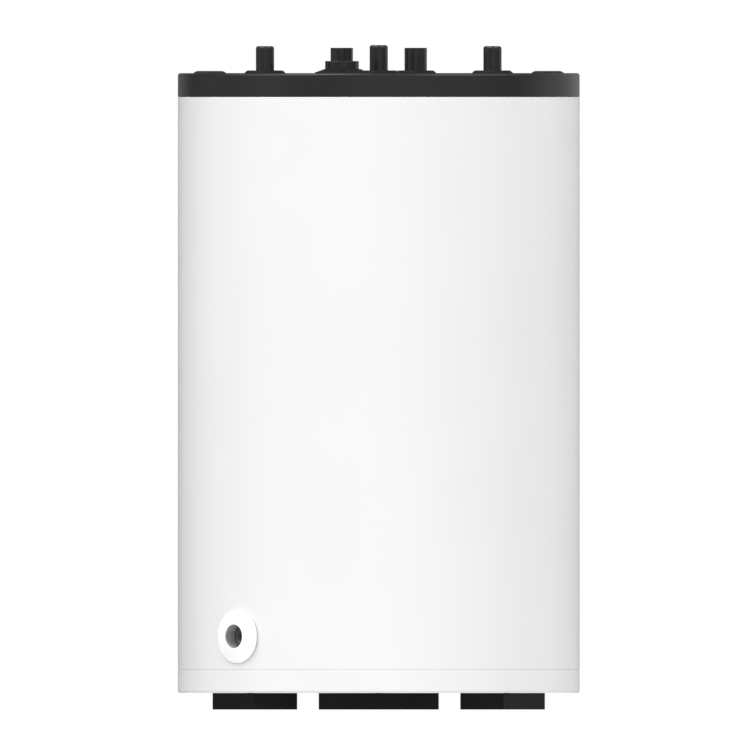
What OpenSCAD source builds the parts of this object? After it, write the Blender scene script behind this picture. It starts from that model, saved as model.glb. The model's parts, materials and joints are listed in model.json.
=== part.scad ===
// Floor-standing indirect water heater: an enamelled steel tank with a heating coil inside,
// foam insulation, a white steel casing, a dark top cover and three levelling feet.
// Millimetres. The origin is on the floor on the casing's axis; +Z is up and -Y is the front.

/* [Casing] */
// Outside diameter of the casing, the top cover and the base pan
body_d = 590; // [586:1:600]
// Height of the white casing
casing_h = 840.4; // [835:0.1:850]
// Sheet thickness of the casing
casing_t = 1; // [0.8:0.1:1.2]
// Width of the open joint down the back of the casing
seam_gap = 16; // [12:1:24]

/* [Base and cover] */
// Height of the base pan
pan_h = 34.5; // [32:0.5:38]
// Height of the top cover
cover_h = 35.1; // [32:0.1:38]
// Wall thickness of the moulded base pan and top cover
moulded_t = 3; // [2.5:0.5:4]

/* [Feet] */
// Height of a foot block, which is the gap between the floor and the base pan
foot_h = 24.5; // [22:0.5:30]
// Radius of the disc that a foot block is cut from
foot_r = 88.4; // [86:0.2:90]
// Distance from the casing's axis to the inner side of a foot block
foot_inner = 189; // [185:1:192]
// Distance from the casing's axis to the outer side of a foot block
foot_outer = 246.6; // [242:0.2:250]
// Radius of the threaded foot spindle
spindle_r = 5; // [4:1:5]

/* [Tank] */
// Outside diameter of the tank
tank_d = 506; // [500:1:510]
// Wall thickness of the tank
tank_t = 3; // [2.5:0.5:3]
// Height of the tank's straight side
tank_side_h = 690; // [680:1:692]
// Height of each domed tank end
dome_h = 75; // [72:1:76]

/* [Connections] */
// Distance of the two tap water connections to either side of the axis
tap_x = 167; // [164:1:169]
// Distance of the two tap water connections in front of the axis
tap_y = 92; // [90:1:94]
// Distance of the two heating connections to either side of the axis
coil_x = 54.3; // [53:0.1:56]
// Distance of the two heating connections behind the axis
coil_y = 123; // [121:1:125]
// Thread radius of a 3/4 inch connection
thread_r_small = 13.22; // [13.2:0.01:13.24]
// Thread radius of a 1 inch connection
thread_r_large = 16.62; // [16.6:0.01:16.64]

/* [Heating coil] */
// Radius of the coil's turns at the centre of the tube
coil_turn_r = 225; // [224:1:226]
// Height of the highest turn
coil_top = 440; // [430:1:460]
// Height of the lowest turn
coil_bottom = 145; // [142:1:148]

/* [Anode] */
// Length of the magnesium rod
anode_len = 475; // [430:1:480]
// Radius of the magnesium rod
anode_r = 13; // [11:0.5:13]

/* [Drain] */
// Angle of the drain to the left of the front
drain_angle = 44.5; // [40:0.5:50]
// Height of the drain's axis
drain_z = 107.4; // [106:0.2:109]
// Outside radius of the drain's cover ring
rosette_r = 40; // [38:0.5:42]

/* [Hidden] */
$fn = 96;
eps = 0.01;
through = 1000;

// heights of the outer pieces
body_r = body_d / 2;
pan_top = foot_h + pan_h;
casing_top = pan_top + casing_h;
cover_top = casing_top + cover_h;
edge_r = 4;
joint_edge_r = 0.6;
reveal = 0.4;
spigot_h = 14;
spigot_wall = 1.6;
spigot_r = body_r - casing_t - 0.4;
seam_t = 3;

// tank
tank_r = tank_d / 2;
tank_bottom = 50;
side_bottom = tank_bottom + dome_h;
side_top = side_bottom + tank_side_h;
tank_top = side_top + dome_h;
dome_sphere_r = (tank_r * tank_r + dome_h * dome_h) / (2 * dome_h);
foam_gap = 0.3;
foam_r = body_r - casing_t - seam_t - moulded_t - 0.5;
foam_top = casing_top - 2;

// support ring, brackets and feet
ring_r = 240;
bracket_t = 4;
bracket_top = foot_h + moulded_t + bracket_t;
bracket_len = 60;
bracket_w = 40;
nut_h = 8;
nut_corner_r = 9.8;
nut_pocket_r = 16;
nut_pocket_top = 68;
foot_clear = 0.2;
foot_centre = 182.6;
spindle_at = (foot_inner + foot_outer) / 2;
spindle_low = 8;
spindle_top = 62;
spindle_slot_w = 1.6;
spindle_slot_h = 3;
screw_fit = 0.05;
FOOT_REAR = 90;
FOOT_LEFT = 210;
FOOT_RIGHT = 330;
FOOT_ANGLES = [FOOT_REAR, FOOT_LEFT, FOOT_RIGHT];

// pipe connections: [x, y]
COLD_AT = [-tap_x, -tap_y];
HOT_AT = [tap_x, -tap_y];
LOOP_AT = [0, 0];
FLOW_AT = [coil_x, coil_y];
RETURN_AT = [-coil_x, coil_y];
pipe_r_small = 13.45;
pipe_r_large = 16.85;
pipe_bore_small = 10.8;
pipe_bore_large = 13.6;
thread_len_small = 17;
thread_len_large = 20;
loop_rise = 40.5;
tap_rise = 39;
coil_rise = 36.5;
tap_chamfer = 1.8;
coil_chamfer = 0.5;
weld_depth = 9;
weld_fit = 0.1;
tube_r = 10.6;
tube_bore_r = 8.6;
tube_recess = 8;
dip_tube_low = 185;
loop_tube_low = 640;

// rubber grommets round the pipes
grommet_base_r = 29;
grommet_top_r = 23.35;
grommet_rise = 3.95;
grommet_neck_r = 22.8;
grommet_lip_r = 26;
grommet_lip_h = 2;
grommet_hole_r = 23;
grommet_fit = 0.1;

// blank caps over the cover's fixings
CAP_X = 248;
cap_base_r = 23.5;
cap_top_r = 18.5;
cap_rise = 3.1;
cap_ring_r = 17.3;
cap_ring_t = 1.8;
cap_ring_h = 6;
cup_r = 20;
cup_bore_r = 17.6;
cup_depth = 12;
stud_r = 4;
stud_low = side_top + 6;
stud_high = cover_top - 3.5;
cover_nut_h = 6.5;
cover_nut_corner_r = 7.5;

// anode
ANODE_AT = [-54, -86];
anode_head_r = 24;
anode_head_rise = 17.7;
anode_head_low = 1;
anode_shank_r = 15.2;
anode_shank_h = 30;
anode_core_r = 4;
anode_core_tip = 5;
anode_core_grip = 12;
anode_edge_top = 0.8;
anode_edge_low = 0.4;
anode_key_r = 9.8;
anode_key_depth = 9;
socket_r = 21.2;
socket_bore_r = 15.3;
gasket_h = 2;
boot_base_r = 39.5;
boot_rise = 6;
boot_gap = 0.5;
boot_edge = 0.8;
boot_neck_r = 33;
boot_lip_r = 36;
groove_depth = 0.4;
groove_w = 0.6;
GROOVES = [3, 7, 11];

// sensor
SENSOR_AT = [-36, 40];
pocket_r = 6;
pocket_bore_r = 5;
pocket_low = 420;
pocket_floor = 3;
gland_r = 12;
gland_rise = 5.8;
gland_neck_r = 7.9;
gland_neck_h = 9;
gland_edge = 0.8;
gland_hole_r = 2.6;
sensor_r = 3;
sensor_len = 45;

// heating coil: a tube that comes down from the flow connection, turns round the tank and
// climbs back up inside its own turns to the return connection
coil_tube_r = 13.45;
coil_bore_r = 11;
coil_bend = 45;
coil_turns = 8;
coil_rings_per_turn = 18;
coil_sides = 8;
coil_bend_steps = 5;
coil_pipe_end = 905;
coil_pipe_at = norm(FLOW_AT);
coil_start_r = norm([coil_pipe_at, coil_bend]);
coil_lead = atan(coil_bend / coil_pipe_at);
coil_start = atan2(FLOW_AT.y, FLOW_AT.x) - coil_lead;
coil_end = atan2(RETURN_AT.y, RETURN_AT.x) + coil_lead - 360 * coil_turns;
coil_sweep = coil_start - coil_end;
coil_ease = 2 * (coil_turn_r - coil_start_r) / coil_bend * coil_pipe_at / coil_start_r
            * 180 / PI;
coil_steps = round(coil_sweep / 360 * coil_rings_per_turn);

// drain
drain_pipe_r = 16.8;
drain_bore_r = 10.5;
drain_thread_r = 12.06;
drain_thread_len = 20;
drain_inner_at = 215;
drain_face_at = 285;
rosette_plane = body_r + 2;
rosette_rise = 7.5;
rosette_lip_r = 19.5;
rosette_fit = 0.05;
drain_hole_r = 17.5;
drain_neck_r = 19.3;
drain_neck_low = 284;

// rating plate and seam screws
plate_angle = 45;
plate_w = 100;
plate_h = 60;
plate_z = 730;
plate_t = 0.45;
plate_seat = 0.02;
SEAM_SCREWS = 6;
seam_lap = 40;
seam_clear = 0.3;
seam_screw_margin = 60;
screw_head_r = 4;
screw_head_h = 1.2;
screw_r = 2;
screw_len = 4.5;
screw_inset = 0.6;
screw_clear = 0.1;
screw_cross = [4.4, 0.8, 0.7];

// ---------- helpers ----------

// half section of a disc with rounded top and bottom rims
module rim_profile(r, h, top_r, bottom_r) {
    difference() {
        square([r, h]);
        rim_cut(r, h, top_r);
        translate([0, h]) mirror([0, 1]) rim_cut(r, h, bottom_r);
    }
}

// what a rounded rim takes off the corner at [r, h]
module rim_cut(r, h, round_r) {
    translate([r - round_r, h - round_r]) difference() {
        square(2 * round_r);
        circle(round_r);
    }
}

module ring(outer, inner, h) {
    difference() {
        cylinder(r = outer, h = h);
        translate([0, 0, -1]) cylinder(r = inner, h = h + 2);
    }
}

// moves its children to a place on the plan, at a height
module at(place, z) {
    translate([place.x, place.y, z]) children();
}

// turns its children so that +Z points out of the casing along the drain's axis
module at_drain() {
    translate([0, 0, drain_z]) rotate([0, 0, 270 - drain_angle]) rotate([0, 90, 0]) children();
}

// a sphere of which the tank's domed end is a cap, less a margin
module dome_sphere(top, margin) {
    z = top ? tank_top - dome_sphere_r : tank_bottom + dome_sphere_r;
    translate([0, 0, z]) sphere(r = dome_sphere_r - margin, $fn = 200);
}

// ---------- outside ----------

module base_pan() {
    color("white") difference() {
        union() {
            translate([0, 0, foot_h])
                rotate_extrude() rim_profile(body_r, pan_h - reveal, joint_edge_r, edge_r);
            translate([0, 0, foot_h]) cylinder(r = spigot_r, h = pan_h + spigot_h);
        }
        translate([0, 0, foot_h + moulded_t])
            cylinder(r = spigot_r - spigot_wall, h = through);
        for (a = FOOT_ANGLES) rotate([0, 0, a]) translate([spindle_at, 0, 0])
            cylinder(r = spindle_r + 2, h = 2 * foot_h);
    }
}

module outer_casing() {
    color("white") difference() {
        translate([0, 0, pan_top]) ring(body_r, body_r - casing_t, casing_h);
        translate([-seam_gap / 2, 0, 0]) cube([seam_gap, through, through]);
        at_drain() cylinder(r = drain_neck_r + 0.5, h = through);
    }
}

module casing_seam_strip() {
    slot_w = seam_gap - 2 * seam_clear;
    color("whitesmoke") difference() {
        union() {
            intersection() {
                translate([0, 0, pan_top + spigot_h + 1])
                    ring(body_r - casing_t - 0.1, body_r - casing_t - seam_t,
                         casing_h - 2 * spigot_h - 2);
                translate([-seam_lap / 2, 0, 0]) cube([seam_lap, through, through]);
            }
            intersection() {
                translate([0, 0, pan_top + seam_clear])
                    ring(body_r - 0.4, body_r - casing_t - 0.2, casing_h - 2 * seam_clear);
                translate([-slot_w / 2, 0, 0]) cube([slot_w, through, through]);
            }
        }
        for (i = [0 : SEAM_SCREWS - 1]) seam_screw_at(i) {
            cylinder(r = screw_r + screw_fit, h = 4 * screw_len, center = true);
            cylinder(r = screw_head_r + screw_clear, h = screw_len);
        }
    }
}

// places its children at a seam screw's head, with +Z pointing out of the back
module seam_screw_at(i) {
    z = pan_top + seam_screw_margin + i * (casing_h - 2 * seam_screw_margin) / (SEAM_SCREWS - 1);
    translate([0, body_r - screw_inset - screw_head_h, z]) rotate([-90, 0, 0]) children();
}

module seam_screws() {
    color("silver") for (i = [0 : SEAM_SCREWS - 1]) seam_screw_at(i) difference() {
        union() {
            cylinder(r = screw_head_r, h = screw_head_h);
            translate([0, 0, -screw_len]) cylinder(r = screw_r, h = screw_len + eps);
        }
        for (turn = [0, 90]) rotate([0, 0, turn])
            translate([-screw_cross.x / 2, -screw_cross.y / 2, screw_head_h - screw_cross.z])
                cube([screw_cross.x, screw_cross.y, 2 * screw_cross.z]);
    }
}

module rating_plate() {
    color("silver") intersection() {
        translate([0, 0, plate_z]) ring(body_r + plate_t, body_r + plate_seat, plate_h);
        rotate([0, 0, plate_angle]) translate([0, -plate_w / 2, 0])
            cube([through, plate_w, through]);
    }
}

module top_cover() {
    color([0.2, 0.2, 0.21]) difference() {
        union() {
            difference() {
                union() {
                    translate([0, 0, casing_top + reveal])
                        rotate_extrude() rim_profile(body_r, cover_h - reveal, edge_r, joint_edge_r);
                    translate([0, 0, casing_top - spigot_h]) cylinder(r = spigot_r, h = 2 * spigot_h);
                }
                translate([0, 0, casing_top - 2 * spigot_h])
                    cylinder(r = spigot_r - spigot_wall, h = cover_h - moulded_t + 2 * spigot_h);
            }
            for (side = [-1, 1]) at([side * CAP_X, 0], cover_top - cup_depth - moulded_t)
                cylinder(r = cup_r, h = cup_depth + moulded_t - eps);
        }
        for (place = [COLD_AT, HOT_AT, LOOP_AT, FLOW_AT, RETURN_AT])
            at(place, casing_top) cylinder(r = grommet_hole_r, h = 2 * cover_h);
        at(ANODE_AT, casing_top) cylinder(r = boot_neck_r + 0.2, h = 2 * cover_h);
        at(SENSOR_AT, casing_top) cylinder(r = gland_neck_r + 0.1, h = 2 * cover_h);
        for (side = [-1, 1]) {
            at([side * CAP_X, 0], cover_top - cup_depth) cylinder(r = cup_bore_r, h = 2 * cover_h);
            at([side * CAP_X, 0], casing_top) cylinder(r = stud_r + 0.5, h = 2 * cover_h);
        }
    }
}

module cover_cap(side) {
    color([0.2, 0.2, 0.21]) at([side * CAP_X, 0], cover_top) {
        cylinder(r1 = cap_base_r, r2 = cap_top_r, h = cap_rise);
        translate([0, 0, -cap_ring_h]) ring(cap_ring_r, cap_ring_r - cap_ring_t, cap_ring_h + eps);
    }
}

module cover_studs() {
    color("silver") for (side = [-1, 1]) at([side * CAP_X, 0], stud_low)
        cylinder(r = stud_r, h = stud_high - stud_low);
}

module cover_nuts() {
    color("silver") for (side = [-1, 1]) at([side * CAP_X, 0], cover_top - cup_depth) difference() {
        cylinder(r = cover_nut_corner_r, h = cover_nut_h, $fn = 6);
        translate([0, 0, -1]) cylinder(r = stud_r + screw_fit, h = cover_nut_h + 2);
    }
}

// ---------- insulation ----------

module insulation_side() {
    color("khaki") difference() {
        translate([0, 0, bracket_top]) ring(foam_r, tank_r + foam_gap, side_top - bracket_top);
        at_drain() cylinder(r = drain_neck_r + foam_gap, h = through);
    }
}

module insulation_top() {
    color("khaki") difference() {
        translate([0, 0, side_top]) cylinder(r = foam_r, h = foam_top - side_top);
        dome_sphere(true, -foam_gap);
        for (place = [COLD_AT, HOT_AT, LOOP_AT])
            at(place, side_top - 1) cylinder(r = pipe_r_small + foam_gap, h = through);
        for (place = [FLOW_AT, RETURN_AT])
            at(place, side_top - 1) cylinder(r = pipe_r_large + foam_gap, h = through);
        at(ANODE_AT, side_top - 1) cylinder(r = socket_r + foam_gap, h = through);
        at(SENSOR_AT, side_top - 1) cylinder(r = pocket_r + foam_gap, h = through);
        for (side = [-1, 1]) at([side * CAP_X, 0], side_top - 1) cylinder(r = stud_r + 1, h = through);
    }
}

module insulation_bottom() {
    disc_r = ring_r - tank_t - 1;
    color("khaki") difference() {
        translate([0, 0, bracket_top]) cylinder(r = disc_r, h = side_bottom - bracket_top);
        dome_sphere(false, -foam_gap);
        for (a = FOOT_ANGLES) rotate([0, 0, a]) translate([spindle_at, 0, 0])
            cylinder(r = nut_pocket_r, h = nut_pocket_top);
        at_drain() cylinder(r = drain_pipe_r + foam_gap, h = through);
    }
}

// ---------- tank ----------

module tank_shell() {
    color("steelblue") translate([0, 0, side_bottom]) ring(tank_r, tank_r - tank_t, tank_side_h);
}

module tank_dome(top) {
    z = top ? side_top : tank_bottom - 1;
    difference() {
        intersection() {
            dome_sphere(top, 0);
            translate([0, 0, z]) cylinder(r = tank_r, h = dome_h + 1);
        }
        dome_sphere(top, tank_t);
        children();
    }
}

module tank_top_dome() {
    color("steelblue") tank_dome(true) {
        for (place = [COLD_AT, HOT_AT, LOOP_AT])
            at(place, side_top - 1) cylinder(r = pipe_r_small + weld_fit, h = through);
        for (place = [FLOW_AT, RETURN_AT])
            at(place, side_top - 1) cylinder(r = pipe_r_large + weld_fit, h = through);
        at(ANODE_AT, side_top - 1) cylinder(r = socket_r + weld_fit, h = through);
        at(SENSOR_AT, side_top - 1) cylinder(r = pocket_r + weld_fit, h = through);
    }
}

module tank_bottom_dome() {
    color("steelblue") tank_dome(false)
        at_drain() cylinder(r = drain_pipe_r + weld_fit, h = through);
}

module support_ring() {
    color("dimgray") difference() {
        translate([0, 0, bracket_top]) ring(ring_r, ring_r - tank_t, side_bottom - bracket_top);
        dome_sphere(false, -weld_fit / 2);
        at_drain() cylinder(r = drain_pipe_r + foam_gap, h = through);
    }
}

// ---------- feet ----------

module foot_brackets() {
    color("dimgray") for (a = FOOT_ANGLES) rotate([0, 0, a])
        translate([spindle_at - bracket_w / 2, -bracket_len / 2, foot_h + moulded_t]) difference() {
            cube([bracket_w, bracket_len, bracket_t]);
            translate([bracket_w / 2, bracket_len / 2, -1])
                cylinder(r = spindle_r + 0.5, h = bracket_t + 2);
        }
}

module foot_weld_nuts() {
    color("silver") for (a = FOOT_ANGLES) rotate([0, 0, a]) translate([spindle_at, 0, bracket_top])
        difference() {
            cylinder(r = nut_corner_r, h = nut_h, $fn = 6);
            translate([0, 0, -1]) cylinder(r = spindle_r + screw_fit, h = nut_h + 2);
        }
}

// a half disc with its outer side cut flat, and a blind hole that the spindle turns in
module foot_block(a) {
    color([0.12, 0.12, 0.12]) rotate([0, 0, a]) difference() {
        linear_extrude(foot_h - foot_clear) intersection() {
            translate([foot_centre, 0]) circle(foot_r);
            translate([foot_inner, -foot_r]) square([foot_outer - foot_inner, 2 * foot_r]);
        }
        translate([spindle_at, 0, spindle_low]) cylinder(r = spindle_r + screw_fit, h = foot_h);
    }
}

module foot_spindle(a) {
    color("silver") rotate([0, 0, a]) translate([spindle_at, 0, spindle_low]) difference() {
        cylinder(r = spindle_r, h = spindle_top - spindle_low);
        translate([-spindle_slot_w / 2, -spindle_r, spindle_top - spindle_low - spindle_slot_h])
            cube([spindle_slot_w, 2 * spindle_r, 2 * spindle_slot_h]);
    }
}

// ---------- pipes ----------

// height of the outside of the tank's top dome at a place on the plan
function dome_height_at(place) =
    tank_top - dome_sphere_r + sqrt(pow(dome_sphere_r, 2) - pow(norm(place), 2));

// a threaded pipe end that is welded into the tank's top dome
module pipe_nipple(place, pipe_r, thread_r, thread_len, bore_r, rise, chamfer) {
    low = dome_height_at(place) - weld_depth;
    high = cover_top + rise;
    thread_low = high - chamfer - thread_len;
    color([0.15, 0.15, 0.16]) difference() {
        union() {
            at(place, low) cylinder(r = pipe_r, h = thread_low - low);
            at(place, thread_low - eps) cylinder(r = thread_r, h = thread_len + eps);
            at(place, high - chamfer) cylinder(r1 = thread_r, r2 = thread_r - chamfer, h = chamfer);
        }
        at(place, low - 1) cylinder(r = bore_r, h = through);
    }
}

module tap_nipple(place, rise) {
    pipe_nipple(place, pipe_r_small, thread_r_small, thread_len_small, pipe_bore_small, rise,
                tap_chamfer);
}

module heating_nipple(place) {
    pipe_nipple(place, pipe_r_large, thread_r_large, thread_len_large, pipe_bore_large, coil_rise,
                coil_chamfer);
}

// a plastic tube that hangs in a pipe end, open at both ends
module inner_tube(place, low, rise) {
    color("ivory") at(place, low) ring(tube_r, tube_bore_r, cover_top + rise - tube_recess - low);
}

module pipe_grommet(place, pipe_r) {
    color([0.16, 0.16, 0.17]) at(place, 0) difference() {
        union() {
            translate([0, 0, cover_top])
                cylinder(r1 = grommet_base_r, r2 = grommet_top_r, h = grommet_rise);
            translate([0, 0, cover_top - moulded_t - eps])
                cylinder(r = grommet_neck_r, h = moulded_t + 2 * eps);
            translate([0, 0, cover_top - moulded_t - grommet_lip_h])
                cylinder(r = grommet_lip_r, h = grommet_lip_h);
        }
        translate([0, 0, casing_top]) cylinder(r = pipe_r + grommet_fit, h = 2 * cover_h);
    }
}

// ---------- heating coil ----------

function polar(r, a, z) = [r * cos(a), r * sin(a), z];

// radius of the turns at an angle swept from the nearer end of the coil
function turn_r(swept) =
    let (u = min(1, swept / coil_ease))
    coil_start_r + (coil_turn_r - coil_start_r) * (2 * u - u * u);

// a quarter bend between an upright pipe and the coil's end; way is 1 for the flow side
function bend_point(place, z, phi, way) =
    let (a = atan2(place.y, place.x), reach = way * coil_bend * (1 - cos(phi)))
    [place.x + reach * sin(a), place.y - reach * cos(a), z + coil_bend * (1 - sin(phi))];

coil_path = concat(
    [[FLOW_AT.x, FLOW_AT.y, coil_pipe_end]],
    [for (i = [0 : coil_bend_steps - 1]) bend_point(FLOW_AT, coil_top, 90 * i / coil_bend_steps, 1)],
    [for (i = [0 : coil_steps])
        let (swept = coil_sweep * i / coil_steps)
        polar(turn_r(min(swept, coil_sweep - swept)), coil_start - swept,
              coil_top - (coil_top - coil_bottom) * i / coil_steps)],
    [for (i = [coil_bend_steps - 1 : -1 : 0])
        bend_point(RETURN_AT, coil_bottom, 90 * i / coil_bend_steps, -1)],
    [[RETURN_AT.x, RETURN_AT.y, coil_pipe_end]]);

function unit(v) = v / norm(v);

// direction of the coil's path at one of its points
function along(i) =
    unit(coil_path[min(i + 1, len(coil_path) - 1)] - coil_path[max(i - 1, 0)]);

// one ring of points round the path, radius r
function coil_ring(i, r) =
    let (t = along(i), out = unit([coil_path[i].x, coil_path[i].y, 0]),
         side = unit(out - (out * t) * t), up = cross(t, side))
    [for (k = [0 : coil_sides - 1])
        coil_path[i] + r * (cos(360 * k / coil_sides) * side + sin(360 * k / coil_sides) * up)];

module heating_coil() {
    n = len(coil_path);
    m = coil_sides;
    outer = [for (i = [0 : n - 1]) each coil_ring(i, coil_tube_r)];
    inner = [for (i = [0 : n - 1]) each coil_ring(i, coil_bore_r)];
    q = n * m;
    last = (n - 1) * m;
    walls = [for (i = [0 : n - 2], k = [0 : m - 1])
        let (a = i * m + k, b = i * m + (k + 1) % m)
        each [[a, a + m, b], [b, a + m, b + m], [q + a, q + b, q + a + m], [q + b, q + b + m, q + a + m]]];
    ends = [for (k = [0 : m - 1])
        let (a = k, b = (k + 1) % m)
        each [[a, b, q + a], [b, q + b, q + a],
              [last + a, q + last + a, last + b], [last + b, q + last + a, q + last + b]]];
    color("silver") polyhedron(points = concat(outer, inner), faces = concat(walls, ends));
}

// ---------- anode ----------

module anode_socket() {
    low = dome_height_at(ANODE_AT) - weld_depth;
    color("dimgray") at(ANODE_AT, low)
        ring(socket_r, socket_bore_r, cover_top + anode_head_low - gasket_h - low);
}

// the low cone that seals the cover round the anode's head
module anode_boot() {
    bore_r = anode_head_r + boot_gap;
    color([0.16, 0.16, 0.17]) at(ANODE_AT, 0) difference() {
        union() {
            translate([0, 0, cover_top])
                cylinder(r1 = boot_base_r, r2 = bore_r + boot_edge, h = boot_rise);
            translate([0, 0, cover_top - moulded_t - eps])
                cylinder(r = boot_neck_r, h = moulded_t + 2 * eps);
            translate([0, 0, cover_top - moulded_t - grommet_lip_h])
                cylinder(r = boot_lip_r, h = grommet_lip_h);
        }
        translate([0, 0, casing_top]) cylinder(r = bore_r, h = 2 * cover_h);
    }
}

module anode_gasket() {
    color("black") at(ANODE_AT, cover_top + anode_head_low - gasket_h)
        ring(socket_r - 0.4, anode_shank_r + 0.4, gasket_h);
}

module anode_plug() {
    head_low = cover_top + anode_head_low;
    head_h = anode_head_rise - anode_head_low;
    color([0.15, 0.15, 0.16]) at(ANODE_AT, 0) difference() {
        union() {
            translate([0, 0, head_low])
                rotate_extrude() rim_profile(anode_head_r, head_h, anode_edge_top, anode_edge_low);
            translate([0, 0, head_low - anode_shank_h])
                cylinder(r = anode_shank_r, h = anode_shank_h + eps);
        }
        translate([0, 0, head_low + head_h - anode_key_depth])
            cylinder(r = anode_key_r, h = 2 * anode_key_depth, $fn = 6);
        translate([0, 0, head_low - anode_shank_h - 1])
            cylinder(r = anode_core_r + screw_fit, h = anode_core_grip + 1);
        for (g = GROOVES) translate([0, 0, head_low + g])
            ring(2 * anode_head_r, anode_head_r - groove_depth, groove_w);
    }
}

module anode_rod() {
    low = cover_top + anode_head_low - anode_shank_h - anode_len;
    color("lightgray") at(ANODE_AT, low) ring(anode_r, anode_core_r + screw_fit, anode_len);
}

module anode_core() {
    low = cover_top + anode_head_low - anode_shank_h - anode_len - anode_core_tip;
    color("silver") at(ANODE_AT, low)
        cylinder(r = anode_core_r, h = anode_core_tip + anode_len + anode_core_grip - 0.2);
}

// ---------- sensor ----------

module sensor_pocket() {
    color("silver") at(SENSOR_AT, pocket_low) difference() {
        cylinder(r = pocket_r, h = cover_top - 2 - pocket_low);
        translate([0, 0, pocket_floor]) cylinder(r = pocket_bore_r, h = through);
    }
}

module sensor_gland() {
    color([0.16, 0.16, 0.17]) at(SENSOR_AT, cover_top) difference() {
        union() {
            rotate_extrude() rim_profile(gland_r, gland_rise, gland_edge, eps);
            translate([0, 0, -gland_neck_h]) cylinder(r = gland_neck_r, h = gland_neck_h + eps);
        }
        translate([0, 0, -gland_neck_h - 1]) cylinder(r = pocket_r + grommet_fit, h = gland_neck_h);
        translate([0, 0, -gland_neck_h]) cylinder(r = gland_hole_r, h = 2 * gland_neck_h);
    }
}

module temperature_sensor() {
    color("gainsboro") at(SENSOR_AT, pocket_low + pocket_floor + 0.5)
        rotate_extrude() rim_profile(sensor_r, sensor_len, 0.6, 1.5);
}

// ---------- drain ----------

module drain_pipe() {
    color("dimgray") at_drain() difference() {
        translate([0, 0, drain_inner_at]) cylinder(r = drain_pipe_r, h = drain_face_at - drain_inner_at);
        translate([0, 0, drain_inner_at - 1]) cylinder(r = drain_bore_r, h = through);
        translate([0, 0, drain_face_at - drain_thread_len]) cylinder(r = drain_thread_r, h = through);
    }
}

module drain_sleeve() {
    low = tank_r + 1;
    color("gray") at_drain() translate([0, 0, low])
        ring(drain_neck_r, drain_hole_r, drain_neck_low - low);
}

// the white ring over the hole in the casing: a shallow cone on a flat disc, with a neck behind
module drain_rosette() {
    back = body_r + rosette_fit;
    color("white") at_drain() difference() {
        union() {
            translate([0, 0, back]) cylinder(r = rosette_r, h = rosette_plane - back);
            translate([0, 0, rosette_plane - eps])
                cylinder(r1 = rosette_r, r2 = rosette_lip_r, h = rosette_rise + eps);
            translate([0, 0, drain_neck_low]) cylinder(r = drain_neck_r, h = rosette_plane - drain_neck_low);
        }
        cylinder(r = drain_hole_r, h = through);
    }
}

// ---------- nodes ----------

base_pan();
outer_casing();
casing_seam_strip();
seam_screws();
rating_plate();
top_cover();
cover_cap(-1);  // cover_cap_left
cover_cap(1);  // cover_cap_right
cover_studs();
cover_nuts();
insulation_side();
insulation_top();
insulation_bottom();
tank_shell();
tank_top_dome();
tank_bottom_dome();
support_ring();
foot_brackets();
foot_weld_nuts();
foot_block(FOOT_REAR);  // foot_block_rear
foot_block(FOOT_LEFT);  // foot_block_left
foot_block(FOOT_RIGHT);  // foot_block_right
foot_spindle(FOOT_REAR);  // foot_spindle_rear
foot_spindle(FOOT_LEFT);  // foot_spindle_left
foot_spindle(FOOT_RIGHT);  // foot_spindle_right
heating_coil();
heating_nipple(FLOW_AT);  // coil_flow_nipple
heating_nipple(RETURN_AT);  // coil_return_nipple
tap_nipple(COLD_AT, tap_rise);  // cold_water_nipple
tap_nipple(HOT_AT, tap_rise);  // hot_water_nipple
tap_nipple(LOOP_AT, loop_rise);  // circulation_nipple
inner_tube(COLD_AT, dip_tube_low, tap_rise);  // cold_dip_tube
inner_tube(LOOP_AT, loop_tube_low, loop_rise);  // circulation_tube
pipe_grommet(COLD_AT, pipe_r_small);  // cold_pipe_grommet
pipe_grommet(HOT_AT, pipe_r_small);  // hot_pipe_grommet
pipe_grommet(LOOP_AT, pipe_r_small);  // circulation_pipe_grommet
pipe_grommet(FLOW_AT, pipe_r_large);  // flow_pipe_grommet
pipe_grommet(RETURN_AT, pipe_r_large);  // return_pipe_grommet
anode_socket();
anode_boot();
anode_plug();
anode_gasket();
anode_rod();
anode_core();
sensor_pocket();
sensor_gland();
temperature_sensor();
drain_pipe();
drain_sleeve();
drain_rosette();
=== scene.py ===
"""A floor-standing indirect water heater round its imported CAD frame.

The CAD nodes give the places and the main sizes. This script makes the pieces that show, with
their rounded edges, hems and threads, gives each piece and each CAD node a procedural finish,
and adds the studio and the camera. Metres; +Z is up and -Y is the front.
"""
import json
import math

import bmesh
import bpy
from mathutils import Matrix, Vector


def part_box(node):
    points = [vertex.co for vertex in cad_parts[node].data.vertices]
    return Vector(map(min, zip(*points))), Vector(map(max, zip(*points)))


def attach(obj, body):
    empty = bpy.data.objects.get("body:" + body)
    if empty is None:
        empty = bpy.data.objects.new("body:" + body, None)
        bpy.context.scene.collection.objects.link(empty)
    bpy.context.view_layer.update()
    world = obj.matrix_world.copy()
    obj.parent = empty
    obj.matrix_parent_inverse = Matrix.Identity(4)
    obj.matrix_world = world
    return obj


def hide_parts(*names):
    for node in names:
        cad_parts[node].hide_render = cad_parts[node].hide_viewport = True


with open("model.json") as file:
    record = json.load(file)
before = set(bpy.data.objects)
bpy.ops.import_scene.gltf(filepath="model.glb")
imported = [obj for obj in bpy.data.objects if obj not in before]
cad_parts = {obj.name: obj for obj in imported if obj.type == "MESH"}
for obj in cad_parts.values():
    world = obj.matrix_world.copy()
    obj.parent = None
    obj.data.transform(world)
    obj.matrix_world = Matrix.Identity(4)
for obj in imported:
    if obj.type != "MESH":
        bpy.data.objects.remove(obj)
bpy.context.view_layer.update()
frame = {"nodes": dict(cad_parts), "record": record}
CAD = frame["nodes"]
MM = 0.001
INCH = 25.4 * MM

# ---------- sizes from the frame, and sizes that several pieces share ----------

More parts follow.
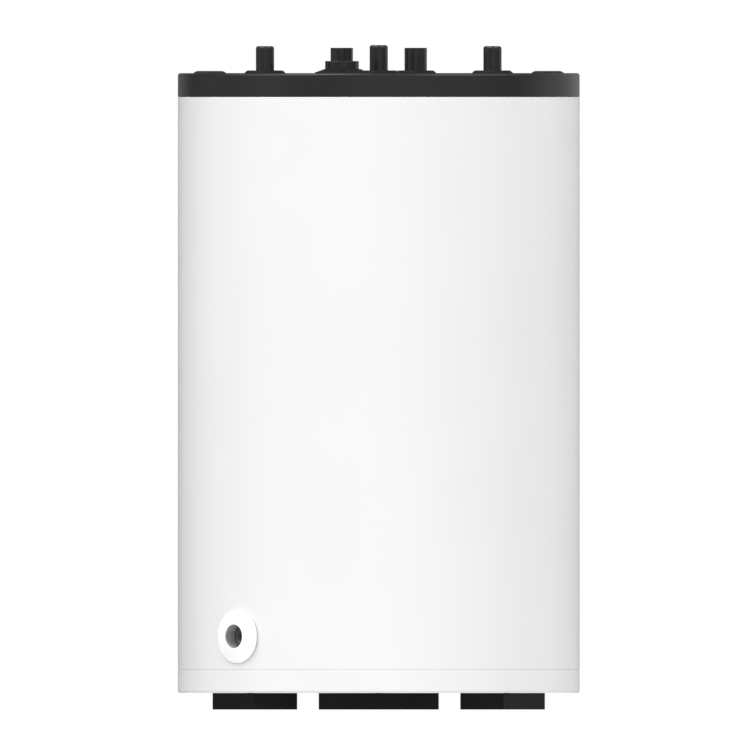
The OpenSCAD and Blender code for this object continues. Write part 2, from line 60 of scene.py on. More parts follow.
CASING_LOW, CASING_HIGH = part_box("outer_casing")
PAN_LOW, PAN_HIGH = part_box("base_pan")
COVER_LOW, COVER_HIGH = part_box("top_cover")
BODY_R = CASING_HIGH.x
COVER_TOP = COVER_HIGH.z
SHEET_T = 1.0 * MM
REVEAL = 0.4 * MM
SPIGOT_R = BODY_R - 1.4 * MM
SPIGOT_WALL = 1.6 * MM
MOULDED_T = 3 * MM
COVER_INNER_TOP = COVER_TOP - MOULDED_T
SEAM_GAP = 16 * MM
DRAIN_HOLE_R = 19.8 * MM
CAP_HOLE_R = 17.6 * MM
GLAND_HOLE_R = 8 * MM
GROMMET_HOLE_R = 23 * MM
BOOT_HOLE_R = 33.2 * MM
DRAIN_Z = sum(c.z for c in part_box("drain_pipe")) / 2
DRAIN_AZIMUTH = math.radians(270 - 44.5)
DRAIN = Matrix.Translation((0, 0, DRAIN_Z)) @ Matrix.Rotation(DRAIN_AZIMUTH, 4, "Z") @ Matrix.Rotation(
    math.pi / 2, 4, "Y"
)

FEET = {"rear": 0, "left": 120, "right": 240}  # each with its turn round the axis, in degrees
SIDES = ("left", "right")

ROUND_STEPS = 360
SMALL_STEPS = 96
SHARP_ANGLE = math.radians(35)


# ---------- outlines and meshes ----------


def outline(*corners, support=0.25 * MM):
    """Points of an outline through corners (r, z) or (r, z, rounding).

    A rounding is drawn as an arc. Each straight side that meets one keeps a point close to
    it, so that smooth shading stays in the arc."""
    points = []
    for i, corner in enumerate(corners):
        here = Vector(corner[:2])
        rounding = corner[2] if len(corner) > 2 else 0
        if not rounding:
            points.append(here)
            continue
        before = Vector(corners[i - 1][:2]) - here
        after = Vector(corners[(i + 1) % len(corners)][:2]) - here
        half = before.angle(after) / 2
        reach = rounding / math.tan(half)
        start, end = before.normalized() * reach, after.normalized() * reach
        centre = (start + end).normalized() * (rounding / math.sin(half))
        turn = math.pi - 2 * half
        steps = max(3, math.ceil(turn / math.radians(12)))
        if before.length > reach + 3 * support:
            points.append(here + start + before.normalized() * support)
        for k in range(steps + 1):
            part = k / steps
            arm = (start - centre) * math.sin((1 - part) * turn) + (end - centre) * math.sin(part * turn)
            points.append(here + centre + arm / math.sin(turn))
        if after.length > reach + 3 * support:
            points.append(here + end + after.normalized() * support)
    return [(p.x, p.y) for p in points]


def mesh_from(bm, name, place=None):
    """A smooth mesh with its hard edges marked, from a bmesh, moved to a place."""
    bmesh.ops.remove_doubles(bm, verts=bm.verts, dist=1e-6)
    bmesh.ops.recalc_face_normals(bm, faces=bm.faces)
    mesh = bpy.data.meshes.new(name)
    bm.to_mesh(mesh)
    bm.free()
    if place is not None:
        mesh.transform(place)
    soften(mesh)
    return mesh


def soften(mesh):
    mesh.shade_smooth()
    mesh.set_sharp_from_angle(angle=SHARP_ANGLE)


def lathe(name, points, steps=SMALL_STEPS, start=0.0, sweep=2 * math.pi, place=None):
    """Turns a closed outline of (r, z) points round the Z axis, all the way or through a sweep."""
    bm = bmesh.new()
    whole = sweep >= 2 * math.pi
    rings = []
    for i in range(steps if whole else steps + 1):
        a = start + sweep * i / steps
        rings.append([bm.verts.new((r * math.cos(a), r * math.sin(a), z)) for r, z in points])
    for i in range(steps):
        ring, after = rings[i], rings[(i + 1) % len(rings)]
        for j in range(len(points)):
            k = (j + 1) % len(points)
            bm.faces.new((ring[j], after[j], after[k], ring[k]))
    if not whole:
        bm.faces.new(rings[0])
        bm.faces.new(rings[-1])
    return mesh_from(bm, name, place)


def prism(name, points, low, high, place=None):
    """A straight column on a closed plan of (x, y) points."""
    bm = bmesh.new()
    bottom = bm.faces.new([bm.verts.new((x, y, low)) for x, y in points])
    grown = bmesh.ops.extrude_face_region(bm, geom=[bottom])["geom"]
    top = [v for v in grown if isinstance(v, bmesh.types.BMVert)]
    bmesh.ops.translate(bm, vec=(0, 0, high - low), verts=top)
    return mesh_from(bm, name, place)


def circle(r, sides, centre=(0, 0)):
    turn = 2 * math.pi / sides
    return [(centre[0] + r * math.cos(i * turn), centre[1] + r * math.sin(i * turn)) for i in range(sides)]


THREAD_FORM = ((0.0, 1), (0.12, 1), (0.5, 0), (0.62, 0))  # share of the pitch, crest or root


def thread(name, crest_r, root_r, pitch, low, high, steps=48, place=None):
    """A right-hand screw thread as a closed solid, run out to the root at both ends."""
    bm = bmesh.new()
    turns = math.ceil((high - low) / pitch)
    columns = []
    for i in range(steps):
        a = 2 * math.pi * i / steps
        column = []
        for turn in range(-1, turns + 1):
            for share, crest in THREAD_FORM:
                z = min(max(low + pitch * (turn + share + i / steps), low), high)
                run_out = root_r + min(z - low, high - z)
                r = min(crest_r if crest else root_r, run_out)
                column.append(bm.verts.new((r * math.cos(a), r * math.sin(a), z)))
        columns.append(column)
    per_turn = len(THREAD_FORM)
    for i in range(steps):
        column, after = columns[i], columns[(i + 1) % steps]
        shift = per_turn if i == steps - 1 else 0
        for m in range(len(column) - 1 - shift):
            bm.faces.new((column[m], after[m + shift], after[m + 1 + shift], column[m + 1]))
    bmesh.ops.remove_doubles(bm, verts=bm.verts, dist=1e-6)
    rims = [e for e in bm.edges if e.is_boundary]
    bmesh.ops.holes_fill(bm, edges=rims, sides=0)
    return mesh_from(bm, name, place)


def combined(mesh, others, operation):
    """The mesh after a boolean with each of the others, which are used up."""
    body = bpy.data.objects.new("body", mesh)
    bpy.context.scene.collection.objects.link(body)
    helpers = []
    for other in others:
        helper = bpy.data.objects.new("helper", other)
        bpy.context.scene.collection.objects.link(helper)
        helpers.append(helper)
        step = body.modifiers.new("step", "BOOLEAN")
        step.operation, step.solver, step.object = operation, "EXACT", helper
    made = bpy.data.meshes.new_from_object(body.evaluated_get(bpy.context.evaluated_depsgraph_get()))
    for o in [body, *helpers]:
        bpy.data.objects.remove(o)
    made.name = mesh.name
    made.materials.clear()
    soften(made)
    return made


def cut(mesh, *others):
    return combined(mesh, others, "DIFFERENCE")


def joined(name, *meshes):
    """Several closed shells as one mesh."""
    bm = bmesh.new()
    for mesh in meshes:
        bm.from_mesh(mesh)
    mesh = bpy.data.meshes.new(name)
    bm.to_mesh(mesh)
    bm.free()
    soften(mesh)
    return mesh


def middle(node):
    """The axis of an upright CAD node: its box's middle on the plan, as a move from the origin."""
    low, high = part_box(node)
    return Matrix.Translation(((low.x + high.x) / 2, (low.y + high.y) / 2, 0))


# ---------- finishes ----------


class Finish:
    """Builds one procedural material in the node tree of a Principled shader."""

    def __init__(self, slot, metallic=0.0, ior=1.5):
        self.material = bpy.data.materials.new(slot)
        self.material.use_nodes = True
        self.tree = self.material.node_tree
        self.shader = self.tree.nodes["Principled BSDF"]
        self.shader.inputs["Metallic"].default_value = metallic
        self.shader.inputs["IOR"].default_value = ior
        self.where = self.tree.nodes.new("ShaderNodeTexCoord").outputs["Object"]

    def link(self, source, target):
        self.tree.links.new(source, target)

    def stretched(self, x, y, z):
        node = self.tree.nodes.new("ShaderNodeMapping")
        node.inputs["Scale"].default_value = (x, y, z)
        self.link(self.where, node.inputs["Vector"])
        return node.outputs["Vector"]

    def noise(self, scale, detail=3.0, roughness=0.55, where=None):
        node = self.tree.nodes.new("ShaderNodeTexNoise")
        node.inputs["Scale"].default_value = scale
        node.inputs["Detail"].default_value = detail
        node.inputs["Roughness"].default_value = roughness
        self.link(where or self.where, node.inputs["Vector"])
        return node.outputs["Fac"]

    def cells(self, scale, where=None):
        node = self.tree.nodes.new("ShaderNodeTexVoronoi")
        node.inputs["Scale"].default_value = scale
        self.link(where or self.where, node.inputs["Vector"])
        return node.outputs["Distance"]

    def colour(self, pattern, dark, light, low=0.35, high=0.65):
        ramp = self.tree.nodes.new("ShaderNodeValToRGB")
        ramp.color_ramp.interpolation = "EASE"
        for stop, at, tone in zip(ramp.color_ramp.elements, (low, high), (dark, light)):
            stop.position = at
            stop.color = (*tone, 1)
        self.link(pattern, ramp.inputs["Fac"])
        self.link(ramp.outputs["Color"], self.shader.inputs["Base Color"])
        return self

    def roughness(self, pattern, smooth, rough):
        span = self.tree.nodes.new("ShaderNodeMapRange")
        for socket, value in zip(("From Min", "From Max", "To Min", "To Max"), (0.3, 0.7, smooth, rough)):
            span.inputs[socket].default_value = value
        self.link(pattern, span.inputs["Value"])
        self.link(span.outputs["Result"], self.shader.inputs["Roughness"])
        return self

    def bump(self, pattern, depth, strength=1.0):
        """Adds a relief of the pattern, depth in metres, on top of any relief already there."""
        relief = self.tree.nodes.new("ShaderNodeBump")
        relief.inputs["Distance"].default_value = depth
        relief.inputs["Strength"].default_value = strength
        self.link(pattern, relief.inputs["Height"])
        normal = self.shader.inputs["Normal"]
        if normal.is_linked:
            self.link(normal.links[0].from_socket, relief.inputs["Normal"])
        self.link(relief.outputs["Normal"], normal)
        return self


def grey(value, warm=0.0):
    return (value * (1 + warm), value, value * (1 - warm))


def white_enamelled_sheet():
    """Stove enamel on steel sheet: a faint orange peel and a hardly visible drift of tone."""
    f = Finish("white_enamelled_sheet")
    f.colour(f.noise(2.5), grey(0.73), grey(0.745))
    f.roughness(f.noise(30), 0.17, 0.21)
    f.bump(f.noise(420, detail=2), 0.02 * MM)
    return f


def white_plastic():
    f = Finish("white_plastic")
    f.colour(f.noise(4), grey(0.73), grey(0.75))
    f.roughness(f.noise(60), 0.20, 0.25)
    f.bump(f.noise(1500, detail=2), 0.012 * MM)
    return f


def white_ring_plastic():
    f = Finish("white_ring_plastic")
    f.colour(f.noise(20), grey(0.945), grey(0.96))
    f.roughness(f.noise(60), 0.30, 0.36)
    f.bump(f.noise(1500, detail=2), 0.008 * MM)
    return f


def charcoal_plastic():
    """Moulded cover with a fine spark-eroded grain."""
    f = Finish("charcoal_plastic", ior=1.4)
    f.colour(f.noise(6), grey(0.0095), grey(0.0112))
    f.roughness(f.noise(40), 0.26, 0.31)
    f.bump(f.noise(1800, detail=2), 0.012 * MM)
    return f


def black_rubber():
    f = Finish("black_rubber", ior=1.33)
    f.colour(f.noise(25), grey(0.008), grey(0.011))
    f.roughness(f.noise(80), 0.38, 0.46)
    f.bump(f.noise(1400, detail=3), 0.015 * MM)
    f.shader.inputs["Specular IOR Level"].default_value = 0.35
    return f


def black_block():
    """Moulded rubber foot with a dusty bloom and small pits."""
    f = Finish("black_block", ior=1.33)
    f.colour(f.noise(14, detail=5), grey(0.0055), grey(0.0075))
    f.roughness(f.noise(60), 0.34, 0.44)
    f.bump(f.noise(900, detail=3), 0.02 * MM)
    f.bump(f.cells(260), 0.01 * MM, 0.5)
    f.shader.inputs["Specular IOR Level"].default_value = 0.2
    return f


def black_pipe():
    """Gloss black lacquer on a turned steel pipe end."""
    f = Finish("black_pipe", ior=1.4)
    f.colour(f.noise(30), grey(0.013), grey(0.0155))
    f.roughness(f.noise(90), 0.14, 0.18)
    f.bump(f.noise(700, detail=2), 0.004 * MM)
    return f


def zinc_plated_steel():
    f = Finish("zinc_plated_steel", metallic=1.0)
    f.colour(f.noise(60, detail=4), grey(0.52), grey(0.66, 0.01))
    f.roughness(f.noise(300, where=f.stretched(1, 1, 6)), 0.24, 0.38)
    f.bump(f.noise(800, where=f.stretched(1, 1, 8)), 0.006 * MM)
    return f


def blue_enamel(slot):
    f = Finish(slot)
    f.colour(f.noise(12, detail=4), (0.018, 0.035, 0.075), (0.030, 0.055, 0.105))
    f.roughness(f.noise(40), 0.10, 0.20)
    f.bump(f.noise(220, detail=3), 0.05 * MM)
    f.bump(f.cells(600), 0.01 * MM, 0.4)
    return f


def raw_steel():
    f = Finish("raw_steel", metallic=1.0)
    f.colour(f.noise(35, detail=6), grey(0.15, 0.02), grey(0.25, 0.01))
    f.roughness(f.noise(120), 0.50, 0.68)
    f.bump(f.noise(500, detail=4), 0.02 * MM)
    return f


def magnesium():
    """Cast rod with draw marks along it and a dull oxide."""
    f = Finish("magnesium", metallic=1.0)
    f.colour(f.noise(80, detail=5, where=f.stretched(1, 1, 0.1)), grey(0.42), grey(0.60))
    f.roughness(f.noise(90), 0.42, 0.62)
    f.bump(f.noise(900, where=f.stretched(1, 1, 0.05)), 0.03 * MM)
    return f


def foam():
    """Rigid polyurethane foam: cream, with closed cells and a darker drift."""
    f = Finish("foam")
    f.colour(f.noise(18, detail=5), (0.62, 0.52, 0.27), (0.76, 0.67, 0.40))
    f.roughness(f.noise(60), 0.80, 0.95)
    f.bump(f.cells(700), 0.25 * MM)
    f.bump(f.noise(120, detail=4), 0.4 * MM, 0.6)
    return f


def white_tube_plastic():
    f = Finish("white_tube_plastic")
    f.colour(f.noise(20), (0.66, 0.66, 0.62), (0.76, 0.76, 0.73))
    f.roughness(f.noise(90), 0.35, 0.48)
    f.bump(f.noise(700, where=f.stretched(1, 1, 0.1)), 0.01 * MM)
    return f


def grey_plastic():
    f = Finish("grey_plastic")
    f.colour(f.noise(50), grey(0.36), grey(0.43))
    f.roughness(f.noise(80), 0.40, 0.50)
    f.bump(f.noise(1300), 0.015 * MM)
    return f


def plate_foil():
    """Brushed foil printed with a table of blank fields."""
    f = Finish("plate_foil", metallic=1.0)
    turned = f.tree.nodes.new("ShaderNodeMapping")
    turned.inputs["Location"].default_value = (0, 16.7 * MM, -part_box("rating_plate")[0].z)
    turned.inputs["Rotation"].default_value = (0, 0, math.radians(-45))
    f.link(f.where, turned.inputs["Vector"])
    split, flat = f.tree.nodes.new("ShaderNodeSeparateXYZ"), f.tree.nodes.new("ShaderNodeCombineXYZ")
    f.link(turned.outputs["Vector"], split.inputs["Vector"])
    f.link(split.outputs["Y"], flat.inputs["X"])
    f.link(split.outputs["Z"], flat.inputs["Y"])
    table = f.tree.nodes.new("ShaderNodeTexBrick")
    table.offset = 0
    for socket, value in zip(("Scale", "Mortar Size", "Mortar Smooth", "Brick Width", "Row Height"),
                             (1, 0.4 * MM, 0.1, 33.3 * MM, 10 * MM)):
        table.inputs[socket].default_value = value
    for socket, tone in zip(("Color1", "Color2", "Mortar"), (grey(0.72), grey(0.66), grey(0.06))):
        table.inputs[socket].default_value = (*tone, 1)
    f.link(flat.outputs["Vector"], table.inputs["Vector"])
    f.link(table.outputs["Color"], f.shader.inputs["Base Color"])
    f.roughness(f.noise(260, where=f.stretched(1, 1, 14)), 0.28, 0.40)
    f.bump(f.noise(700, where=f.stretched(1, 1, 18)), 0.006 * MM)
    return f


def sensor_cap():
    f = Finish("sensor_cap")
    f.colour(f.noise(300), grey(0.62), grey(0.72))
    f.roughness(f.noise(400), 0.40, 0.50)
    f.bump(f.noise(1500), 0.01 * MM)
    return f


MAKERS = [
    white_enamelled_sheet, white_plastic, white_ring_plastic, charcoal_plastic, black_rubber, black_block,
    black_pipe, zinc_plated_steel, raw_steel, magnesium, foam, white_tube_plastic, grey_plastic, plate_foil,
    sensor_cap,
]
FINISHES = {make.__name__: make().material for make in MAKERS}
for slot_name in ("blue_enamelled_steel", "coil_steel"):
    FINISHES[slot_name] = blue_enamel(slot_name).material

for part in frame["record"]["subparts"]:
    mesh = CAD[part["node"]].data
    mesh.materials.clear()
    mesh.materials.append(FINISHES[part["material_slot"]])


# ---------- pieces ----------


def piece(name, mesh, finish, *nodes, body="root"):
    """Shows a mesh as a piece with one finish, on a body, in place of CAD nodes."""
    mesh.materials.append(FINISHES[finish])
    made = bpy.data.objects.new(name, mesh)
    bpy.context.scene.collection.objects.link(made)
    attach(made, body)
    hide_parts(*nodes)
    return made


def casing():
    """One rolled sheet with hemmed edges, open at the back, with a hole for the drain."""
    low, high, inner, edge = CASING_LOW.z, CASING_HIGH.z, BODY_R - SHEET_T, 0.2 * MM
    hem_low, hem_high, band = 0.3 * MM, 0.75 * MM, 30 * MM
    below_drain, above_drain = DRAIN_Z - band, DRAIN_Z + band
    sheet = outline(
        (BODY_R, low, hem_low), (BODY_R, below_drain), (BODY_R, above_drain), (BODY_R, high, hem_high),
        (inner, high, edge), (inner, above_drain), (inner, below_drain), (inner, low, edge),
    )
    half_gap = math.asin(SEAM_GAP / 2 / BODY_R)
    ring = lathe("casing", sheet, ROUND_STEPS, math.pi / 2 + half_gap, 2 * (math.pi - half_gap))
    hole = prism("hole", circle(DRAIN_HOLE_R, SMALL_STEPS), BODY_R / 2, BODY_R * 2, DRAIN)
    piece("casing", cut(ring, hole), "white_enamelled_sheet", "outer_casing")


def base_pan():
    """White moulded pan: a floor with a rounded edge, and an upstand that goes into the casing."""
    low, joint, top, inner = PAN_LOW.z, CASING_LOW.z - REVEAL / 2, PAN_HIGH.z, SPIGOT_R - SPIGOT_WALL
    corner, edge = 3.4 * MM, 0.4 * MM
    section = outline(
        (0, low), (BODY_R, low, corner), (BODY_R, joint, edge), (SPIGOT_R, joint), (SPIGOT_R, top, edge),
        (inner, top, edge), (inner, low + MOULDED_T, 1 * MM), (0, low + MOULDED_T),
    )
    spindle_hole = circle(7 * MM, 48)
    holes = [prism("hole", spindle_hole, 0, low + 2 * MOULDED_T, middle(f"foot_spindle_{foot}"))
             for foot in FEET]
    piece("pan", cut(lathe("pan", section, ROUND_STEPS), *holes), "white_plastic", "base_pan")


# outer radius, bore radius and mouth rounding of each kind of pipe end
PIPES = {"tap": (13.4 * MM, 9.9 * MM, 3.4 * MM), "heating": (16.5 * MM, 13.6 * MM, 0.6 * MM)}
PIPE_ENDS = {"cold_water": "tap", "hot_water": "tap", "circulation": "tap", "coil_flow": "heating",
             "coil_return": "heating"}
GROMMETS = {"cold": "tap", "hot": "tap", "circulation": "tap", "flow": "heating", "return": "heating"}


def cover():
    """Dark moulded cover with its openings, and a cup for each stud under the blank caps."""
    joint, low, inner = CASING_HIGH.z + REVEAL, COVER_LOW.z, SPIGOT_R - SPIGOT_WALL
    rim, edge = 4 * MM, 0.4 * MM
    section = outline(
        (0, COVER_TOP), (BODY_R, COVER_TOP, rim), (BODY_R, joint, 0.6 * MM), (SPIGOT_R, joint),
        (SPIGOT_R, low, edge), (inner, low, edge), (inner, COVER_INNER_TOP, 1 * MM), (0, COVER_INNER_TOP),
    )
    openings = {f"{pipe}_pipe_grommet": GROMMET_HOLE_R for pipe in GROMMETS}
    openings.update({"anode_boot": BOOT_HOLE_R, "sensor_gland": GLAND_HOLE_R,
                     "cover_cap_left": CAP_HOLE_R, "cover_cap_right": CAP_HOLE_R})
    past = 5 * MM
    holes = [prism("hole", circle(r, SMALL_STEPS), COVER_INNER_TOP - past, COVER_TOP + past, middle(node))
             for node, r in openings.items()]

    stud_hole_r, cup_r, cup_low, cup_high = 4.5 * MM, 20 * MM, COVER_TOP - 15 * MM, COVER_INNER_TOP + 1 * MM
    cup = outline(
        (stud_hole_r, cup_low), (cup_r, cup_low, 1 * MM), (cup_r, cup_high), (CAP_HOLE_R, cup_high),
        (CAP_HOLE_R, cup_low + MOULDED_T, 0.5 * MM), (stud_hole_r, cup_low + MOULDED_T),
    )
    cups = [lathe("cup", cup, place=middle(f"cover_cap_{side}")) for side in SIDES]
    shell = cut(lathe("cover", section, ROUND_STEPS), *holes)
    piece("cover", joined("cover", shell, *cups), "charcoal_plastic", "top_cover")


def cover_caps():
    """Blank caps: a low flange with a skirt that clips into the cover."""
    crown_r, flange_r, skirt_r, skirt_inner, edge = 19 * MM, 23.5 * MM, 17.3 * MM, 15.5 * MM, 0.4 * MM
    for side in SIDES:
        node = f"cover_cap_{side}"
        low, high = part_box(node)
        section = outline(
            (0, high.z), (crown_r, high.z, 3 * MM), (flange_r, COVER_TOP + 0.9 * MM, 0.6 * MM),
            (flange_r, COVER_TOP), (skirt_r, COVER_TOP), (skirt_r, low.z, edge), (skirt_inner, low.z, edge),
            (skirt_inner, COVER_TOP + 1 * MM), (0, COVER_TOP + 1 * MM),
        )
        piece(f"cap_{side}", lathe("cap", section, place=middle(node)), "charcoal_plastic", node)


def grommets():
    """Moulded rubber rings that close the cover round the pipe ends."""
    shoulder_r, neck_r, lip_r = 25.9 * MM, 22.8 * MM, 26 * MM
    for pipe, kind in GROMMETS.items():
        node = f"{pipe}_pipe_grommet"
        low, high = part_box(node)
        bore, flange_r = PIPES[kind][0] + 0.1 * MM, (high.x - low.x) / 2 + 0.7 * MM
        section = outline(
            (bore, high.z, 0.5 * MM), (shoulder_r, high.z, 3 * MM),
            (flange_r, COVER_TOP + 1.1 * MM, 0.7 * MM), (flange_r, COVER_TOP), (neck_r, COVER_TOP),
            (neck_r, COVER_INNER_TOP), (lip_r, COVER_INNER_TOP, 0.3 * MM), (lip_r, low.z, 0.6 * MM),
            (bore, low.z),
        )
        piece(f"grommet_{pipe}", lathe("grommet", section, place=middle(node)), "black_rubber", node)


def pipe_ends():
    """Turned pipe ends with a rounded mouth and a bore, left smooth as thread blanks."""
    for node, kind in PIPE_ENDS.items():
        r, bore, mouth = PIPES[kind]
        low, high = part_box(f"{node}_nipple")
        top, edge = high.z + 0.6 * MM, 0.5 * MM
        section = outline((bore, top, 0.1 * MM), (r, top, mouth), (r, low.z, edge), (bore, low.z, edge))
        mesh = lathe("pipe_end", section, place=middle(f"{node}_nipple"))
        piece(f"{node}_pipe_end", mesh, "black_pipe", f"{node}_nipple")


def anode():
    """Seal boot, and the plug with its stepped head, hexagon socket and threaded shank."""
    low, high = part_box("anode_boot")
    bore, neck_r, lip_r, flange_r = 25 * MM, 33 * MM, 36 * MM, (high.x - low.x) / 2 + 0.8 * MM
    crest = 0.35 * MM
    section = outline(
        (bore, high.z, crest), (bore + 0.8 * MM, high.z, crest), (flange_r, COVER_TOP + 0.8 * MM, 0.6 * MM),
        (flange_r, COVER_TOP), (neck_r, COVER_TOP), (neck_r, COVER_INNER_TOP),
        (lip_r, COVER_INNER_TOP, 0.3 * MM), (lip_r, low.z, 0.6 * MM), (bore, low.z),
    )
    piece("anode_seal_boot", lathe("boot", section, place=middle("anode_boot")), "black_rubber", "anode_boot")

    low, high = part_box("anode_plug")
    place = middle("anode_plug")
    head_r, head_low = (high.x - low.x) / 2 + 0.8 * MM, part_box("anode_gasket")[1].z
    slim_r, step = head_r - 0.2 * MM, head_low + 5 * MM
    section = outline(
        (0, high.z), (head_r, high.z, 0.9 * MM), (head_r, step + 0.2 * MM, 0.1 * MM), (slim_r, step),
        (slim_r, head_low, 0.4 * MM), (0, head_low), support=0.1 * MM,
    )
    socket_r, socket_depth = 9.8 * MM, 9 * MM
    socket = prism("socket", circle(socket_r, 6), high.z - socket_depth, high.z + socket_depth, place)
    head = cut(lathe("plug", section, place=place), socket)
    crest_r, root_r, pitch = 15.2 * MM, 13.9 * MM, INCH / 11
    shank = thread("shank", crest_r, root_r, pitch, low.z, head_low + 0.5 * MM, 72, place)
    piece("anode_screw", joined("plug", head, shank), "black_pipe", "anode_plug", body="anode")


def sensor_gland():
    """Rubber gland that lets the sensor's pocket through the cover."""
    low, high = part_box("sensor_gland")
    bore, head_r, neck_r, neck_inner, web = 2.6 * MM, 12 * MM, 7.9 * MM, 6.1 * MM, COVER_TOP - 1 * MM
    section = outline(
        (bore, high.z, 0.4 * MM), (head_r, high.z, 1 * MM), (head_r, COVER_TOP, 0.1 * MM),
        (neck_r, COVER_TOP), (neck_r, low.z, 0.3 * MM), (neck_inner, low.z), (neck_inner, web), (bore, web),
    )
    piece("gland", lathe("gland", section, place=middle("sensor_gland")), "black_rubber", "sensor_gland")


def drain():
    """Cover ring, a low cone on a flat disc, with the lining behind it and the threaded drain pipe."""
    back, plane, crown, neck_low = BODY_R + 0.05 * MM, BODY_R + 2.6 * MM, BODY_R + 9.5 * MM, BODY_R - 11 * MM
    ring_r, lip_r, neck_r, hole_r, edge = 39 * MM, 19.5 * MM, 19.3 * MM, 17.55 * MM, 0.3 * MM
    ring = outline(
        (hole_r, neck_low), (neck_r, neck_low), (neck_r, back), (ring_r, back, edge), (ring_r, plane, edge),
        (lip_r, crown, 0.6 * MM), (hole_r, crown, 0.5 * MM),
    )
    piece("drain_ring", lathe("drain_ring", ring, 192, place=DRAIN), "white_ring_plastic", "drain_rosette")

    inner_end, step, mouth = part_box("tank_shell")[1].x + 1 * MM, neck_low - 0.05 * MM, crown - 1.2 * MM
    lining_r, lining_inner = 17.5 * MM, 17.2 * MM
    lining = outline(
        (lining_inner, inner_end), (neck_r, inner_end), (neck_r, step), (lining_r, step), (lining_r, mouth),
        (lining_inner, mouth),
    )
    piece("drain_lining", lathe("lining", lining, place=DRAIN), "grey_plastic", "drain_sleeve")

    inner_end, face, thread_end = BODY_R - 80 * MM, BODY_R - 10 * MM, BODY_R - 30 * MM
    bore, pipe_r, crest_r, mouth_r, root_r = 10.5 * MM, 16.8 * MM, 13.22 * MM, 13.3 * MM, 12.06 * MM
    pipe = outline(
        (bore, inner_end), (pipe_r, inner_end), (pipe_r, face, 0.8 * MM), (mouth_r, face),
        (root_r, face - 1.2 * MM), (root_r, thread_end), (bore, thread_end),
    )
    tap = thread("tap", crest_r, 12 * MM, INCH / 14, thread_end - 1 * MM, face + 3 * MM, place=DRAIN)
    piece("drain_end", cut(lathe("drain_end", pipe, place=DRAIN), tap), "raw_steel", "drain_pipe")


def feet():
    """Rubber blocks cut from a disc, each let down by a threaded spindle that turns in it."""
    low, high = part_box("foot_block_rear")
    disc_r, half = 88.4 * MM, high.x
    centre = low.y - math.sqrt(disc_r**2 - half**2)
    first, last = math.asin((low.y - centre) / disc_r), math.asin((high.y - centre) / disc_r)
    arc = [first + (last - first) * i / 24 for i in range(25)]
    plan = [(disc_r * math.cos(a), centre + disc_r * math.sin(a)) for a in arc]
    plan += [(-x, y) for x, y in reversed(plan)]
    spindle_y, thread_r, root_r, pitch = (low.y + high.y) / 2, 5 * MM, 4.1 * MM, 1.5 * MM
    slot_x, slot_y, slot_depth = 6 * MM, 0.8 * MM, 3 * MM
    slot_plan = [(-slot_x, -slot_y), (slot_x, -slot_y), (slot_x, slot_y), (-slot_x, slot_y)]
    for foot, turn in FEET.items():
        place = Matrix.Rotation(math.radians(turn), 4, "Z")
        at_spindle = place @ Matrix.Translation((0, spindle_y, 0))
        spindle_low, spindle_high = (corner.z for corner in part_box(f"foot_spindle_{foot}"))
        hole = prism("hole", circle(thread_r + 0.05 * MM, 48), spindle_low, 2 * high.z, at_spindle)
        block = piece(f"foot_{foot}_block", cut(prism("block", plan, low.z, high.z, place), hole),
                      "black_block", f"foot_block_{foot}", body=f"foot_{foot}")
        rim = block.modifiers.new("rim", "BEVEL")
        rim.width, rim.segments, rim.harden_normals = 0.4 * MM, 3, True
        rim.limit_method, rim.angle_limit = "ANGLE", SHARP_ANGLE
        rod = thread("spindle", thread_r, root_r, pitch, spindle_low, spindle_high, place=at_spindle)
        slot = prism("slot", slot_plan, spindle_high - slot_depth, spindle_high + slot_depth, at_spindle)
        piece(f"foot_{foot}_spindle", cut(rod, slot), "zinc_plated_steel", f"foot_spindle_{foot}",
              body=f"spindle_{foot}")


casing()
base_pan()
cover()
cover_caps()
grommets()
pipe_ends()
anode()
sensor_gland()
drain()
feet()

# ---------- studio ----------


def direction(azimuth, elevation):
    """A unit vector from the object; azimuth 0 is the front and 90 is the right, in degrees."""
    a, e = math.radians(azimuth), math.radians(elevation)
    return (math.sin(a) * math.cos(e), -math.cos(a) * math.cos(e), math.sin(e))


# soft lamps at a great distance: azimuth, elevation, full within, faded out at, brightness
LAMPS = [
    (-70, 45, 15, 45, 2.1), (-40, 45, 15, 45, 0.8), (60, 45, 15, 45, 2.2),  # main lamps, left and right
    (-66, 69, 8, 18, 8.0), (48, 32, 8, 18, 4.0),  # small lamps for the glints on the cover's rim
    (-20, 0, 30, 80, 0.45), (28, 0, 20, 50, 0.35), (-90, 0, 15, 45, 0.4), (90, 0, 15, 45, 0.3),  # level fill
    (135, 0, 15, 50, 0.55), (-165, 0, 10, 30, 0.2), (180, -50, 15, 42, 1.6),  # behind
    (-10, -45, 20, 50, 0.8), (0, -80, 15, 40, 1.4),  # below
]
AMBIENT = 0.14


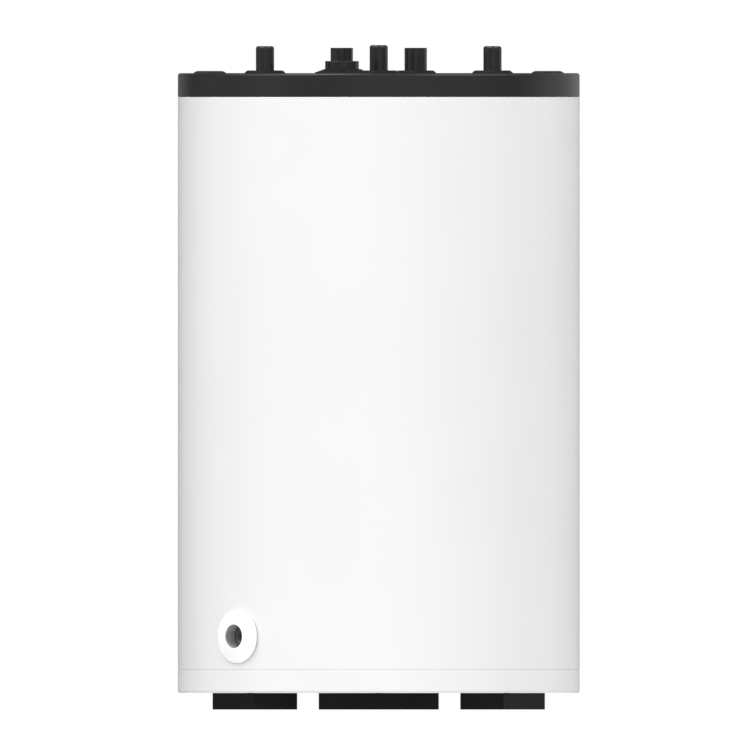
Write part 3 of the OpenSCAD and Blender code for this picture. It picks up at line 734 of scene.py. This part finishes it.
def studio():
    """White to the camera, and lit by soft round lamps for everything else."""
    world = bpy.data.worlds.new("studio")
    bpy.context.scene.world = world
    world.use_nodes = True
    tree = world.node_tree
    tree.nodes.clear()
    where = tree.nodes.new("ShaderNodeTexCoord").outputs["Generated"]
    total = None
    for azimuth, elevation, inner, outer, brightness in LAMPS:
        facing = tree.nodes.new("ShaderNodeVectorMath")
        facing.operation = "DOT_PRODUCT"
        facing.inputs[1].default_value = direction(azimuth, elevation)
        tree.links.new(where, facing.inputs[0])
        glow = tree.nodes.new("ShaderNodeMapRange")
        glow.interpolation_type = "SMOOTHSTEP"
        for socket, value in zip(
            ("From Min", "From Max", "To Min", "To Max"),
            (math.cos(math.radians(outer)), math.cos(math.radians(inner)), 0, brightness),
        ):
            glow.inputs[socket].default_value = value
        tree.links.new(facing.outputs["Value"], glow.inputs["Value"])
        add = tree.nodes.new("ShaderNodeMath")
        add.operation = "ADD"
        add.inputs[1].default_value = AMBIENT
        tree.links.new(glow.outputs["Result"], add.inputs[0])
        if total is not None:
            tree.links.new(total, add.inputs[1])
        total = add.outputs["Value"]
    light = tree.nodes.new("ShaderNodeBackground")
    tree.links.new(total, light.inputs["Strength"])
    backdrop = tree.nodes.new("ShaderNodeBackground")
    backdrop.inputs["Color"].default_value = (1, 1, 1, 1)
    rays = tree.nodes.new("ShaderNodeLightPath")
    mix = tree.nodes.new("ShaderNodeMixShader")
    tree.links.new(rays.outputs["Is Camera Ray"], mix.inputs["Fac"])
    tree.links.new(light.outputs["Background"], mix.inputs[1])
    tree.links.new(backdrop.outputs["Background"], mix.inputs[2])
    output = tree.nodes.new("ShaderNodeOutputWorld")
    tree.links.new(mix.outputs["Shader"], output.inputs["Surface"])


def floor():
    """A wide pale disc just under the object, which only the camera sees."""
    f = Finish("studio_floor")
    f.colour(f.noise(3, detail=4), grey(0.590), grey(0.597))
    f.roughness(f.noise(20), 0.80, 0.90)
    f.bump(f.noise(300), 0.05 * MM)
    f.shader.inputs["Specular IOR Level"].default_value = 0.0
    near_r, far_r, drop = 1.5, 30, 0.05 * MM
    bm = bmesh.new()
    for r in (near_r, far_r):
        for x, y in circle(r, SMALL_STEPS):
            bm.verts.new((x, y, -drop))
    bm.verts.ensure_lookup_table()
    bm.faces.new(bm.verts[:SMALL_STEPS])
    for i in range(SMALL_STEPS):
        j = (i + 1) % SMALL_STEPS
        bm.faces.new((bm.verts[i], bm.verts[j], bm.verts[SMALL_STEPS + j], bm.verts[SMALL_STEPS + i]))
    mesh = mesh_from(bm, "floor")
    mesh.materials.append(f.material)
    made = bpy.data.objects.new("floor", mesh)
    bpy.context.scene.collection.objects.link(made)
    made.visible_diffuse = made.visible_glossy = made.visible_transmission = made.visible_shadow = False


def camera():
    """Level and square to the front, without perspective."""
    view_width, middle_x, middle_z, distance = 1.1012, -0.0055, 0.4912, 3
    data = bpy.data.cameras.new("camera")
    data.type = "ORTHO"
    data.ortho_scale = view_width
    made = bpy.data.objects.new("camera", data)
    made.location = (middle_x, -distance, middle_z)
    made.rotation_euler = (math.pi / 2, 0, 0)
    bpy.context.scene.collection.objects.link(made)
    bpy.context.scene.camera = made


studio()
floor()
camera()
bpy.context.scene.view_settings.view_transform = "Standard"
